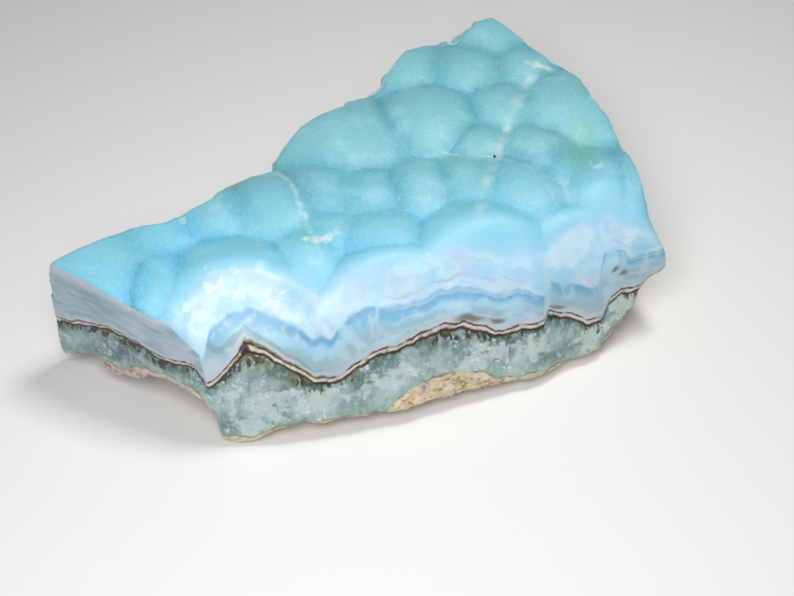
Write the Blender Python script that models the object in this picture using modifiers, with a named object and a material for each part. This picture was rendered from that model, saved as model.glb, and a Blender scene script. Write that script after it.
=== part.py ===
"""A hand-sized slab of blue aragonite, lying on its rough side.

The crust on top is a cluster of rounded knobs that grew into each other. Its front edge has been
ground round and its front and left sides cut flat, so they show the layers: blue aragonite, a thin
brown seam, a crystalline layer and the rough rock below. The back and the right side are broken.

The shape is one closed skin. An extruded outline is remeshed, and its points are then moved onto
the surface where slab_height() is zero, as a sculptor would work from a sawn blank.
The shape functions work in millimetres on arrays of points. The scene is in metres, +Z up.
"""

import bpy
import numpy as np
from mathutils import Matrix, Vector, noise

NAME = "aragonite_slab"
MM = 0.001

# Middle of the slab's box, in the coordinates that the sizes below use
PLAN_MIDDLE = (-1.15, -1.14)

# Knobs of the crust: x, y and height of the crown, and its radius of curvature
KNOBS = {
    "left_tip": (-45.5, -25.5, 26.6, 19),
    "left_tip_back": (-36.5, -18.0, 25.6, 13),
    "left_edge": (-34.2, -28.0, 26.2, 9),
    "left_back": (-25.6, -13.4, 26.2, 10),
    "front_left": (-22.5, -29.3, 28.8, 14),
    "left_middle": (-16.0, -11.6, 27.4, 11),
    "hollow": (-11.0, -21.6, 26.2, 8),
    "back_broad": (-4.0, 5.4, 27.9, 16),
    "middle_left": (-8.0, -7.6, 26.9, 11),
    "middle": (-0.3, -8.2, 26.9, 10),
    "middle_small": (-7.0, -16.2, 26.0, 6),
    "middle_low": (2.0, -17.2, 26.4, 10),
    "middle_right": (8.6, -6.0, 26.8, 9),
    "front_middle": (4.2, -29.5, 28.5, 12),
    "back_dome": (10.7, 11.3, 28.5, 10.5),
    "back_left": (7.8, 26.4, 26.4, 11),
    "back_right": (17.8, 25.0, 26.8, 10),
    "apex": (22.2, 37.5, 26.4, 13),
    "apex_right": (29.0, 27.0, 25.6, 9),
    "ridge_back": (23.6, 14.8, 26.4, 9),
    "ridge_middle": (19.6, 4.6, 26.2, 8),
    "ridge_right": (29.4, 3.0, 26.7, 9),
    "ridge_left": (18.2, -5.2, 26.9, 10),
    "ridge_front": (25.8, -6.6, 27.3, 12),
    "front_dome": (19.6, -19.6, 28.4, 14),
    "right_back": (36.8, 15.2, 27.0, 14),
    "right_cleft": (34.4, -2.0, 26.2, 8),
    "right_middle": (40.2, -4.2, 26.7, 10),
    "right_edge": (47.2, -3.4, 26.2, 10),
    "front_right": (36.8, -19.0, 27.3, 11),
    "right_tip": (47.4, -18.2, 26.2, 11),
}
# The crowns and hollows of the crust, flattened towards this height
CRUST_LEVEL = 26.8
CRUST_FLATNESS = 0.65
KNOB_BLEND = 0.6

# Corners of the side walls, x and y low on the slab and then high on it
LOW, HIGH = 2.0, 24.0
FRONT_SIDES = 8
WALL = [
    # Front, cut flat, from the left corner to the right tip
    (-24.2, -43.2, -28.6, -38.6), (-11.8, -42.8, -13.0, -36.0), (5.3, -39.2, 4.6, -31.5),
    (14.0, -36.1, 12.8, -28.6), (22.8, -33.0, 21.5, -25.6), (30.9, -30.2, 29.5, -23.0),
    (39.3, -25.2, 38.0, -18.5), (45.0, -21.5, 44.5, -16.0), (56.5, -16.2, 50.3, -14.0),
    # Right, broken, going back
    (51.4, -10.0, 49.1, -10.6), (49.7, -3.5, 47.7, -3.9), (46.5, 8.4, 45.3, 8.1),
    (44.0, 12.7, 43.5, 12.4), (41.5, 16.6, 41.1, 16.4), (40.7, 23.6, 39.4, 23.2),
    (37.9, 27.7, 37.7, 27.4), (34.7, 28.9, 34.3, 28.3), (32.3, 31.3, 32.2, 31.2),
    (29.8, 35.6, 29.2, 35.0), (25.8, 39.0, 25.3, 38.5),
    # Back left, broken, from the apex to the left tip
    (23.7, 41.8, 23.5, 40.8), (21.7, 39.0, 21.5, 39.4), (17.6, 38.7, 17.8, 38.2),
    (16.7, 36.9, 16.3, 37.2), (15.6, 35.5, 15.8, 35.3), (13.1, 35.5, 13.4, 34.8),
    (6.6, 29.8, 6.2, 30.3), (2.7, 25.2, 3.3, 24.8), (1.5, 22.9, 1.3, 23.2),
    (-1.4, 22.1, -1.2, 21.6), (-4.7, 19.8, -4.6, 19.7), (-6.1, 15.1, -5.3, 14.6),
    (-10.5, 10.5, -10.8, 11.0), (-13.5, 9.7, -12.8, 9.3), (-17.3, 3.2, -17.0, 2.9),
    (-18.8, 0.8, -19.3, 1.3), (-23.2, -1.8, -22.6, -2.5), (-25.6, -5.0, -25.9, -4.9),
    (-28.2, -8.9, -27.6, -9.4), (-31.9, -13.0, -32.3, -12.6), (-35.8, -14.1, -35.4, -15.0),
    (-41.5, -15.9, -41.3, -16.4), (-49.7, -21.0, -49.2, -21.7),
    # Left, cut flat
    (-56.6, -25.5, -53.8, -24.8), (-41.0, -33.4, -42.2, -32.0),
]

# Height of the brown seam along the front and left sides: x, z
SEAM_FRONT = [
    (-57, 11.5), (-52, 12.6), (-47, 15.0), (-44, 16.2), (-38, 15.4), (-34, 14.6), (-28.5, 15.8),
    (-26.8, 13.0), (-24.5, 14.6), (-20.2, 19.4), (-17, 18.2), (-12.6, 14.7), (-9, 11.7),
    (-6.5, 11.2), (-3, 12.4), (0, 14.3), (4, 15.0), (10, 15.8), (12.5, 16.4), (16, 15.9),
    (20, 13.9), (21.5, 12.4), (30.3, 12.3), (30.9, 13.7), (33, 12.2), (38.5, 8.4), (41, 8.0),
    (42.3, 11.0), (44, 11.9), (48, 11.3), (53, 13.4), (58, 14.0),
]
# The same along the broken sides behind
SEAM_BACK = [
    (-57, 11.5), (-46, 13.5), (-36, 11.5), (-24, 14.0), (-14, 12.0), (-2, 15.0), (8, 12.5),
    (18, 14.5), (26, 12.0), (36, 14.5), (46, 12.5), (58, 14.0),
]

# Humps of rough rock that the slab rests on: x, y and radius of the worn flat
FEET = {
    "corner": (-22.0, -39.6, 2.2),
    "middle": (3.0, -4.0, 8.0),
    "right": (30.0, -19.0, 4.5),
    "back": (20.0, 31.0, 5.0),
    "left": (-17.0, -9.0, 3.5),
}
FOOT_WEAR = 0.7

# Underside: usual height and the height of its waves, behind and near the front
BASE_HEIGHT = 2.2
BASE_WAVES = 0.5
FRONT_WAVES = 0.3
# How much higher the lower edge of the front and left sides is: x, rise
RIM_RISE = [
    (-57, 0.4), (-53.5, 1.4), (-51, 2.6), (-48.5, 4.0), (-47, 2.6), (-43.5, 1.7), (-40.5, 3.3),
    (-37.5, 5.8), (-34.5, 6.7), (-31.5, 7.0), (-29, 6.7), (-26.4, 5.6), (-25.0, 0.0), (-20, 0.0),
    (-13.5, 1.2), (-11, 1.6), (-8.5, 0.6), (-6, 1.1), (1, 0.9), (3, 0.2), (8, 0.6), (18, 0.4),
    (22, 0.0), (56, 0.0),
]
# The rise of the whole underside up to the seam at the right tip: x, rise
TIP_RISE = [(40.5, 0.0), (42.5, 1.0), (44.8, 2.7), (46.8, 5.5), (49.3, 9.4), (53, 11.2), (57, 11.6)]

# Grinding of the front edge, 45 degrees: the height where it starts on the front side, and the
# line in plan behind which it leaves the crust as it grew
GRINDING_START = 19.5
GRINDING_BACK_Y = -19.0
GRINDING_BACK_SLANT = 0.30
GRINDING_END = 1.5

# How rounded the stone is where two of its sides meet
EDGE_ROUNDING = 0.8
GROUND_ROUNDING = 2.5
FOOT_ROUNDING = 2.5

# Heights of the relief on the sides and the rock
CHIPS = 1.2
LEDGES = 1.1
SEAM_DEPTH = 0.5
SEAM_HALF_WIDTH = 0.8
CRYSTALS = 0.15
BROKEN_CRYSTALS = 0.6
ROCK_LUMPS = 0.6

BLANK_HEIGHT = 30.0
ROUGH_VOXEL = 1.6
FINE_VOXEL = 0.85
FACE_COUNT = 8600


def step_between(low, high, value):
    """0 below low, 1 above high and a smooth rise between them."""
    t = np.clip((value - low) / (high - low), 0.0, 1.0)
    return t * t * (3.0 - 2.0 * t)


def soft_max(a, b, reach):
    """The larger of a and b, with a rounded corner where they meet."""
    t = np.clip(0.5 + 0.5 * (a - b) / reach, 0.0, 1.0)
    return b + (a - b) * t + reach * t * (1.0 - t)


def crust_height(x, y):
    """Height of the knobbly crust."""
    knobs = np.array(list(KNOBS.values()))
    square = (x[:, None] - knobs[:, 0]) ** 2 + (y[:, None] - knobs[:, 1]) ** 2
    heights = knobs[:, 2] - square / (2.0 * knobs[:, 3])
    highest = heights.max(axis=1)
    blend = np.exp((heights - highest[:, None]) / KNOB_BLEND).sum(axis=1)
    knobbly = highest + KNOB_BLEND * np.log(blend)
    return CRUST_LEVEL + (knobbly - CRUST_LEVEL) * CRUST_FLATNESS


def wall_distance(x, y, z):
    """Distances outside all the side walls and outside the front ones, negative inside them."""
    wall = np.array(WALL)
    t = (z - LOW) / (HIGH - LOW)
    nearest = np.full(len(x), 1e9)
    nearest_front = np.full(len(x), 1e9)
    inside = np.zeros(len(x), bool)
    behind_front = np.zeros(len(x), bool)
    for side, (start, end) in enumerate(zip(wall, np.roll(wall, -1, axis=0))):
        start_x = start[0] + (start[2] - start[0]) * t
        start_y = start[1] + (start[3] - start[1]) * t
        end_x = end[0] + (end[2] - end[0]) * t
        end_y = end[1] + (end[3] - end[1]) * t
        run_x = end_x - start_x
        run_y = end_y - start_y
        to_x = x - start_x
        to_y = y - start_y
        along = np.clip((to_x * run_x + to_y * run_y) / (run_x**2 + run_y**2), 0.0, 1.0)
        square = (to_x - run_x * along) ** 2 + (to_y - run_y * along) ** 2
        left_of = run_x * to_y - run_y * to_x > 0.0
        crosses = (start_y <= y) != (end_y <= y)
        inside ^= crosses & (left_of == (end_y > start_y))
        nearest = np.minimum(nearest, square)
        if side < FRONT_SIDES:
            behind_front = np.where(square < nearest_front, left_of, behind_front)
            nearest_front = np.minimum(nearest_front, square)
    everywhere = np.where(inside, -1.0, 1.0) * np.sqrt(nearest)
    front = np.where(behind_front, -1.0, 1.0) * np.sqrt(nearest_front)
    return everywhere, front


def brokenness(x, y):
    """0 on the cut front and left sides, 1 on the broken sides behind."""
    middle_line = np.interp(x, [-54, -24, 20, 53], [-23, -22, 4, -12])
    return step_between(-3.0, 5.0, y - middle_line)


def seam_height(x, y):
    """Height of the brown seam between the blue and the crystalline layer."""
    front_x, front_z = zip(*SEAM_FRONT)
    back_x, back_z = zip(*SEAM_BACK)
    front = np.interp(x, front_x, front_z)
    back = np.interp(x, back_x, back_z)
    return front + (back - front) * brokenness(x, y)


def grinding_height(x, y):
    """Height at which the 45 degree grinding of the front edge meets the front side."""
    past_line = y - GRINDING_BACK_Y - GRINDING_BACK_SLANT * x
    return GRINDING_START + np.clip(GRINDING_END * past_line, 0.0, BLANK_HEIGHT)


def underside_height(x, y):
    """Height of the rough underside, with the humps that it rests on."""
    waves = np.sin(x / 5.1 + 1.0) * np.cos(y / 6.3) + 0.6 * np.sin(x / 2.9 - y / 3.7)
    behind = brokenness(x, y)
    height = BASE_HEIGHT + BASE_WAVES * waves * (FRONT_WAVES + (1.0 - FRONT_WAVES) * behind)
    for foot_x, foot_y, radius in FEET.values():
        square = ((x - foot_x) ** 2 + (y - foot_y) ** 2) * (1.0 + 0.25 * waves)
        foot = FOOT_WEAR * (square / radius**2 - 1.0)
        height = -soft_max(-height, -foot, FOOT_ROUNDING)
    height += np.interp(x, *zip(*RIM_RISE)) * (1.0 - behind)
    return height + np.interp(x, *zip(*TIP_RISE))


def slab_height(points):
    """Distance outside the slab, negative inside it."""
    x, y, z = points.T
    walls, front = wall_distance(x, y, z)
    grinding = (front + z - grinding_height(x, y)) / np.sqrt(2.0)
    height = soft_max(z - crust_height(x, y), walls, EDGE_ROUNDING)
    height = soft_max(height, grinding, GROUND_ROUNDING)
    return soft_max(height, underside_height(x, y) - z, EDGE_ROUNDING)


def slope(points):
    """Direction and steepness in which slab_height grows."""
    reach = 0.1
    here = slab_height(points)
    rise = [slab_height(points + reach * axis) - here for axis in np.eye(3)]
    return here, np.stack(rise, axis=1) / reach


def lumps(points, size, offset):
    """Smooth noise between -1 and 1, with lumps about as wide as size."""
    shift = Vector((offset, 2.0 * offset, 3.0 * offset))
    return np.array([noise.noise(Vector(point) / size + shift) for point in points])


def relief(points):
    """How far the skin stands out from slab_height, by layer."""
    x, y, z = points.T
    broken = brokenness(x, y)
    wall = step_between(-3.2, -1.2, wall_distance(x, y, z)[0])
    below_crust = step_between(1.0, 2.5, crust_height(x, y) - z)
    above_seam = z - seam_height(x, y)
    above_base = z - underside_height(x, y)
    in_rock = 1.0 - step_between(1.0, 2.6, above_base)
    in_crystal = (1.0 - step_between(-1.2, -0.4, above_seam)) * (1.0 - in_rock)
    in_seam = np.exp(-(((above_seam + 0.5) / SEAM_HALF_WIDTH) ** 2))
    coarse = lumps(points, 11.0, 3.0)
    medium = lumps(points, 4.5, 11.0)
    ledges = np.abs(lumps(points * (1.0, 1.0, 2.2), 7.0, 19.0))
    out = wall * below_crust * broken * (CHIPS * coarse - LEDGES * ledges + 0.3)
    out -= wall * in_seam * SEAM_DEPTH * (1.0 + 0.4 * broken) * (0.8 + 0.6 * medium)
    out += wall * in_crystal * (CRYSTALS + (BROKEN_CRYSTALS - CRYSTALS) * broken) * medium
    out += in_rock * ROCK_LUMPS * (medium + 0.5 * coarse)
    return out


def points_of(mesh):
    """The mesh's points as an array in millimetres, in the coordinates of the sizes above."""
    flat = np.empty(len(mesh.vertices) * 3)
    mesh.vertices.foreach_get("co", flat)
    return flat.reshape(-1, 3) / MM


def put_points(mesh, points):
    """Writes such an array back to the mesh."""
    mesh.vertices.foreach_set("co", (points * MM).ravel())
    mesh.update()


def settle(mesh, rounds, longest_move, embossed=False):
    """Moves the mesh's points onto the slab's surface, with or without its relief."""
    points = points_of(mesh)
    for _ in range(rounds):
        here, rise = slope(points)
        if embossed:
            here = here - relief(points)
        square = np.maximum((rise**2).sum(axis=1), 0.4)
        move = np.clip(here, -longest_move, longest_move) / square
        points = points - rise * move[:, None]
    put_points(mesh, points)


def mesh_of(thing):
    """A new mesh of the object as its modifiers leave it."""
    depsgraph = bpy.context.evaluated_depsgraph_get()
    return bpy.data.meshes.new_from_object(thing.evaluated_get(depsgraph))


def apply_modifiers(thing):
    """Turns the object's modifiers into its mesh."""
    finished = mesh_of(thing)
    thing.modifiers.clear()
    old = thing.data
    thing.data = finished
    bpy.data.meshes.remove(old)


def remesh(thing, voxel):
    """Gives the object an even skin of small faces."""
    even_skin = thing.modifiers.new("Even skin", "REMESH")
    even_skin.mode = "VOXEL"
    even_skin.voxel_size = voxel * MM
    smoothing = thing.modifiers.new("Smooth steps", "SMOOTH")
    smoothing.factor = 0.5
    smoothing.iterations = 2
    apply_modifiers(thing)


def outline_blank(collection):
    """The slab's outline at half height, as a thick plate."""
    curve = bpy.data.curves.new(NAME + "_outline", "CURVE")
    curve.dimensions = "2D"
    curve.fill_mode = "BOTH"
    curve.extrude = BLANK_HEIGHT / 2.0 * MM
    spline = curve.splines.new("POLY")
    spline.points.add(len(WALL) - 1)
    for point, (low_x, low_y, high_x, high_y) in zip(spline.points, WALL):
        point.co = ((low_x + high_x) / 2.0 * MM, (low_y + high_y) / 2.0 * MM, 0.0, 1.0)
    spline.use_cyclic_u = True
    outline = bpy.data.objects.new(NAME + "_outline", curve)
    collection.objects.link(outline)
    outline.location.z = BLANK_HEIGHT / 2.0 * MM
    bpy.context.view_layer.update()
    mesh = mesh_of(outline)
    mesh.transform(outline.matrix_world)
    bpy.data.objects.remove(outline)
    blank = bpy.data.objects.new(NAME, mesh)
    collection.objects.link(blank)
    return blank


def ground_cutter(collection):
    """A block whose top is the ground, which cuts the feet flat."""
    bpy.ops.mesh.primitive_cube_add(size=1.0, location=(0.0, 0.0, -0.01))
    cutter = bpy.context.object
    cutter.name = "ground_cutter"
    cutter.scale = (0.2, 0.2, 0.02)
    bpy.ops.object.transform_apply(location=False, rotation=False, scale=True)
    for other in list(cutter.users_collection):
        other.objects.unlink(cutter)
    collection.objects.link(cutter)
    cutter.hide_render = True
    cutter.display_type = "WIRE"
    return cutter


def stone_material():
    """Pale blue aragonite with a waxy shine."""
    material = bpy.data.materials.new("blue_aragonite")
    material.use_nodes = True
    shader = material.node_tree.nodes["Principled BSDF"]
    shader.inputs["Base Color"].default_value = (0.21, 0.55, 0.62, 1.0)
    shader.inputs["Roughness"].default_value = 0.35
    shader.inputs["Metallic"].default_value = 0.0
    shader.inputs["Subsurface Weight"].default_value = 0.2
    return material


def make_slab(collection, cutters):
    """The whole stone, one closed skin."""
    slab = outline_blank(collection)
    remesh(slab, ROUGH_VOXEL)
    settle(slab.data, rounds=14, longest_move=1.5)
    remesh(slab, FINE_VOXEL)
    settle(slab.data, rounds=5, longest_move=0.5, embossed=True)
    remesh(slab, FINE_VOXEL)
    settle(slab.data, rounds=2, longest_move=0.2, embossed=True)
    slab.data.transform(Matrix.Translation((-PLAN_MIDDLE[0] * MM, -PLAN_MIDDLE[1] * MM, 0.0)))
    slab.data.materials.clear()
    slab.data.materials.append(stone_material())
    thinning = slab.modifiers.new("Fewer faces", "DECIMATE")
    thinning.ratio = FACE_COUNT / (2.0 * len(slab.data.polygons))
    flat_feet = slab.modifiers.new("Flat feet", "BOOLEAN")
    flat_feet.operation = "DIFFERENCE"
    flat_feet.solver = "EXACT"
    flat_feet.object = ground_cutter(cutters)
    return slab


def main():
    for thing in list(bpy.data.objects):
        bpy.data.objects.remove(thing)
    collection = bpy.data.collections.new("Blue aragonite")
    cutters = bpy.data.collections.new("Cutters")
    bpy.context.scene.collection.children.link(collection)
    bpy.context.scene.collection.children.link(cutters)
    make_slab(collection, cutters)


main()
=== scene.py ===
"""The looks of a slab of blue aragonite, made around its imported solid.

The solid is copied, merged and given a fine even skin. The shape functions that made the solid then
carry the points onto the stone's surface again, with the fine relief that the solid is too coarse
for. They also say how deep in the stone's layers each point lies, and the material paints by that.
Lengths are in millimetres in the shape functions and in metres in the scene, +Z up.
"""

import math

import bpy
import numpy as np
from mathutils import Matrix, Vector, noise


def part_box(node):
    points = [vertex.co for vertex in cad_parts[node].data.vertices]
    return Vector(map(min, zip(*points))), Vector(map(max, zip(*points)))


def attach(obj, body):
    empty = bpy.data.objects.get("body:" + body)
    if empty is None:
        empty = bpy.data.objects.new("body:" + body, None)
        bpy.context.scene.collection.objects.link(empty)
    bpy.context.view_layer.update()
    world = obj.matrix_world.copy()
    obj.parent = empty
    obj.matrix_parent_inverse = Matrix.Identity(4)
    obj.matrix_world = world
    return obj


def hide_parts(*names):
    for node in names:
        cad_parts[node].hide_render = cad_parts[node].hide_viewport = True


NODE = "aragonite_slab"
PIECE = "aragonite"
MM = 0.001

# Middle of the slab's box, in the coordinates that the sizes below use
PLAN_MIDDLE = (-1.15, -1.14)

# Knobs of the crust: x, y and height of the crown, and its radius of curvature
KNOBS = {
    "left_tip": (-45.5, -25.5, 26.6, 19),
    "left_tip_back": (-36.5, -18.0, 25.6, 13),
    "left_edge": (-34.2, -28.0, 26.2, 9),
    "left_back": (-25.6, -13.4, 26.2, 10),
    "front_left": (-22.5, -29.3, 28.8, 14),
    "left_middle": (-16.0, -11.6, 27.4, 11),
    "hollow": (-11.0, -21.6, 26.2, 8),
    "back_broad": (-4.0, 5.4, 27.9, 16),
    "middle_left": (-8.0, -7.6, 26.9, 11),
    "middle": (-0.3, -8.2, 26.9, 10),
    "middle_small": (-7.0, -16.2, 26.0, 6),
    "middle_low": (2.0, -17.2, 26.4, 10),
    "middle_right": (8.6, -6.0, 26.8, 9),
    "front_middle": (4.2, -29.5, 28.5, 12),
    "back_dome": (10.7, 11.3, 28.5, 10.5),
    "back_left": (7.8, 26.4, 26.4, 11),
    "back_right": (17.8, 25.0, 26.8, 10),
    "apex": (22.2, 37.5, 26.4, 13),
    "apex_right": (29.0, 27.0, 25.6, 9),
    "ridge_back": (23.6, 14.8, 26.4, 9),
    "ridge_middle": (19.6, 4.6, 26.2, 8),
    "ridge_right": (29.4, 3.0, 26.7, 9),
    "ridge_left": (18.2, -5.2, 26.9, 10),
    "ridge_front": (25.8, -6.6, 27.3, 12),
    "front_dome": (19.6, -19.6, 28.4, 14),
    "right_back": (36.8, 15.2, 27.0, 14),
    "right_cleft": (34.4, -2.0, 26.2, 8),
    "right_middle": (40.2, -4.2, 26.7, 10),
    "right_edge": (47.2, -3.4, 26.2, 10),
    "front_right": (36.8, -19.0, 27.3, 11),
    "right_tip": (47.4, -18.2, 26.2, 11),
}
# The crowns and hollows of the crust, flattened towards this height
CRUST_LEVEL = 26.8
CRUST_FLATNESS = 0.65
KNOB_BLEND = 0.6

# How deep the crease and how dark the painted shade are in the valley between two knobs, and in all the
# other valleys
VALLEY_CREASES_AND_SHADE = {
    ("back_broad", "back_dome"): 0.9, ("back_dome", "ridge_middle"): 0.9,
    ("back_dome", "ridge_back"): 0.8, ("back_dome", "back_right"): 0.7,
    ("back_dome", "middle_right"): 0.8, ("back_broad", "middle"): 0.6,
    ("middle", "middle_right"): 0.9, ("left_middle", "middle_left"): 0.6,
    ("left_tip", "left_edge"): 0.8, ("left_edge", "front_left"): 0.5,
    ("front_left", "left_back"): 0.6, ("front_left", "hollow"): 0.8,
    ("hollow", "front_middle"): 1.0, ("front_left", "front_middle"): 1.0,
    ("front_middle", "middle_low"): 0.7, ("front_middle", "front_dome"): 0.8,
    ("middle_low", "front_dome"): 0.9, ("ridge_front", "front_right"): 0.8,
    ("ridge_front", "right_cleft"): 0.7, ("ridge_front", "ridge_right"): 0.5,
    ("apex_right", "right_back"): 0.6, ("back_right", "apex_right"): 0.6,
    ("ridge_back", "apex_right"): 0.7, ("right_middle", "right_edge"): 0.5,
    ("front_dome", "front_right"): 0.5, ("ridge_left", "middle_right"): 0.5,
}
OTHER_VALLEY_CREASES_AND_SHADE = 0.25
CREASE = 0.22

# Corners of the side walls, x and y low on the slab and then high on it
LOW, HIGH = 2.0, 24.0
FRONT_SIDES = 8
LEFT_SIDES = 2
WALL = [
    # Front, cut flat, from the left corner to the right tip
    (-24.2, -43.2, -28.6, -38.6), (-11.8, -42.8, -13.0, -36.0), (5.3, -39.2, 4.6, -31.5),
    (14.0, -36.1, 12.8, -28.6), (22.8, -33.0, 21.5, -25.6), (30.9, -30.2, 29.5, -23.0),
    (39.3, -25.2, 38.0, -18.5), (45.0, -21.5, 44.5, -16.0), (56.5, -16.2, 50.3, -14.0),
    # Right, broken, going back
    (51.4, -10.0, 49.1, -10.6), (49.7, -3.5, 47.7, -3.9), (46.5, 8.4, 45.3, 8.1),
    (44.0, 12.7, 43.5, 12.4), (41.5, 16.6, 41.1, 16.4), (40.7, 23.6, 39.4, 23.2),
    (37.9, 27.7, 37.7, 27.4), (34.7, 28.9, 34.3, 28.3), (32.3, 31.3, 32.2, 31.2),
    (29.8, 35.6, 29.2, 35.0), (25.8, 39.0, 25.3, 38.5),
    # Back left, broken, from the apex to the left tip
    (23.7, 41.8, 23.5, 40.8), (21.7, 39.0, 21.5, 39.4), (17.6, 38.7, 17.8, 38.2),
    (16.7, 36.9, 16.3, 37.2), (15.6, 35.5, 15.8, 35.3), (13.1, 35.5, 13.4, 34.8),
    (6.6, 29.8, 6.2, 30.3), (2.7, 25.2, 3.3, 24.8), (1.5, 22.9, 1.3, 23.2),
    (-1.4, 22.1, -1.2, 21.6), (-4.7, 19.8, -4.6, 19.7), (-6.1, 15.1, -5.3, 14.6),
    (-10.5, 10.5, -10.8, 11.0), (-13.5, 9.7, -12.8, 9.3), (-17.3, 3.2, -17.0, 2.9),
    (-18.8, 0.8, -19.3, 1.3), (-23.2, -1.8, -22.6, -2.5), (-25.6, -5.0, -25.9, -4.9),
    (-28.2, -8.9, -27.6, -9.4), (-31.9, -13.0, -32.3, -12.6), (-35.8, -14.1, -35.4, -15.0),
    (-41.5, -15.9, -41.3, -16.4), (-49.7, -21.0, -49.2, -21.7),
    # Left, cut flat
    (-56.6, -25.5, -53.8, -24.8), (-41.0, -33.4, -42.2, -32.0),
]

# Height of the brown seam along the front and left sides: x, z
SEAM_FRONT = [
    (-57, 11.5), (-52, 12.6), (-47, 15.0), (-44, 16.2), (-38, 15.4), (-34, 14.6), (-28.5, 15.8),
    (-26.8, 13.0), (-24.5, 14.6), (-20.2, 19.4), (-17, 18.2), (-12.6, 14.7), (-9, 11.7),
    (-6.5, 11.2), (-3, 12.4), (0, 14.3), (4, 15.0), (10, 15.8), (12.5, 16.4), (16, 15.9),
    (20, 13.9), (21.5, 12.4), (30.3, 12.3), (30.9, 13.7), (33, 12.2), (38.5, 8.4), (41, 8.0),
    (42.3, 11.0), (44, 11.9), (48, 11.3), (53, 13.4), (58, 14.0),
]
# The same along the broken sides behind
SEAM_BACK = [
    (-57, 11.5), (-46, 13.5), (-36, 11.5), (-24, 14.0), (-14, 12.0), (-2, 15.0), (8, 12.5),
    (18, 14.5), (26, 12.0), (36, 14.5), (46, 12.5), (58, 14.0),
]

# Humps of rough rock that the slab rests on: x, y and radius of the worn flat
FEET = {
    "corner": (-22.0, -39.6, 2.2),
    "middle": (3.0, -4.0, 8.0),
    "right": (30.0, -19.0, 4.5),
    "back": (20.0, 31.0, 5.0),
    "left": (-17.0, -9.0, 3.5),
}
FOOT_WEAR = 0.7

# Underside: usual height and the height of its waves, behind and near the front
BASE_HEIGHT = 2.2
BASE_WAVES = 0.5
FRONT_WAVES = 0.3
# How much higher the lower edge of the front and left sides is: x, rise
RIM_RISE = [
    (-57, 0.4), (-53.5, 1.4), (-51, 2.6), (-48.5, 4.0), (-47, 2.6), (-43.5, 1.7), (-40.5, 3.3),
    (-37.5, 5.8), (-34.5, 6.7), (-31.5, 7.0), (-29, 6.7), (-26.4, 5.6), (-25.0, 0.0), (-20, 0.0),
    (-13.5, 1.2), (-11, 1.6), (-8.5, 0.6), (-6, 1.1), (1, 0.9), (3, 0.2), (8, 0.6), (18, 0.4),
    (22, 0.0), (56, 0.0),
]
# The rise of the whole underside up to the seam at the right tip: x, rise
TIP_RISE = [(40.5, 0.0), (42.5, 1.0), (44.8, 2.7), (46.8, 5.5), (49.3, 9.4), (53, 11.2), (57, 11.6)]

# Grinding of the front edge, 45 degrees: the height where it starts on the front side, and the
# line in plan behind which it leaves the crust as it grew
GRINDING_START = 19.5
GRINDING_BACK_Y = -19.0
GRINDING_BACK_SLANT = 0.30
GRINDING_END = 1.5
ABOVE_ALL = 30.0

# How rounded the stone is where two of its sides meet
EDGE_ROUNDING = 0.8
GROUND_ROUNDING = 2.5
FOOT_ROUNDING = 2.5

# Heights of the relief on the sides and the rock
CHIPS = 1.2
LEDGES = 1.1
LEDGE_SIZE = 7.0
LEDGE_FLATNESS = 2.2
SEAM_DEPTH = 0.5
SEAM_HALF_WIDTH = 0.8
CRYSTALS = 0.15
BROKEN_CRYSTALS = 0.6
ROCK_LUMPS = 0.6
COARSE = 11.0
MEDIUM = 4.5
# Where the relief changes over, as two distances: outside the walls, below the crust, above the
# seam and above the underside
WALL_FADE = (-3.2, -1.2)
CRUST_FADE = (1.0, 2.5)
CRYSTAL_FADE = (-1.2, -0.4)
ROCK_FADE = (1.0, 2.6)

# Heights of the fine relief, which only the looks have
FIBRES = 0.16
SEAM_PITS = 0.30
ROCK_GRAIN = 0.32
FLAKES = 0.10
FAULT_STEP = 0.22
FAULT_STEP_FADE = (5.0, 9.0)
CREASE_WIDTH = 0.35
SEAM_WAVES = 0.6
SEAM_WAVE_SIZES = (3.4, 1.4)

# Making the skin: the solid's points are merged, given even faces, and moved onto the stone's
# surface in a few rounds. The probe is the distance over which the slope is measured.
MERGE_WITHIN = 0.001
VOXEL = 0.48
SETTLE_ROUNDS = 4
LONGEST_MOVE = 0.5
SMALLEST_RISE = 0.4
PROBE = 0.1

# Share of the way from the seam up to the crust where the blue skin of the crust ends: x, share
SKIN_EDGE = [
    (-28.2, 0.83), (-25.9, 0.97), (-19.4, 0.91), (-12.9, 0.94), (-9.6, 0.96), (-7.9, 0.92),
    (-5.5, 0.92), (-1.4, 0.87), (5.3, 0.82), (10.3, 0.88), (17.1, 0.74), (22.2, 0.72),
    (30.0, 0.74), (32.7, 0.78), (41.6, 0.90), (49.8, 0.61),
]
SKIN_EDGE_BEHIND = 0.97
SKIN_EDGE_LEFT = 0.985
# The same for the top of the blue layer, which white walls part into lobes
BLUE_EDGE = [
    (-27.5, 0.35), (-25.9, 0.66), (-23.3, 0.62), (-20.9, 0.54), (-17.7, 0.55), (-12.8, 0.66),
    (-7.9, 0.72), (-6.0, 0.60), (-4.6, 0.62), (-3.0, 0.65), (-0.5, 0.59), (4.4, 0.49),
    (8.6, 0.48), (12.0, 0.57), (18.7, 0.51), (25.6, 0.51), (29.9, 0.42), (30.9, 0.45),
    (35.4, 0.41), (39.8, 0.38), (40.6, 0.68), (45.3, 0.49), (49.9, 0.43),
]
BLUE_EDGE_BEHIND = 0.55
# The same for the foot of the blue layer, which shows as an arc on the left
BLUE_FOOT = [
    (-27.5, 0.70), (-25.9, 0.60), (-24.0, 0.46), (-21.5, 0.34), (-18.0, 0.30), (-15.3, 0.31),
    (-11.3, 0.28), (-5.6, 0.20), (0.0, 0.16), (50.0, 0.14),
]
ARC_END = (-9.0, -5.0)
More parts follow.
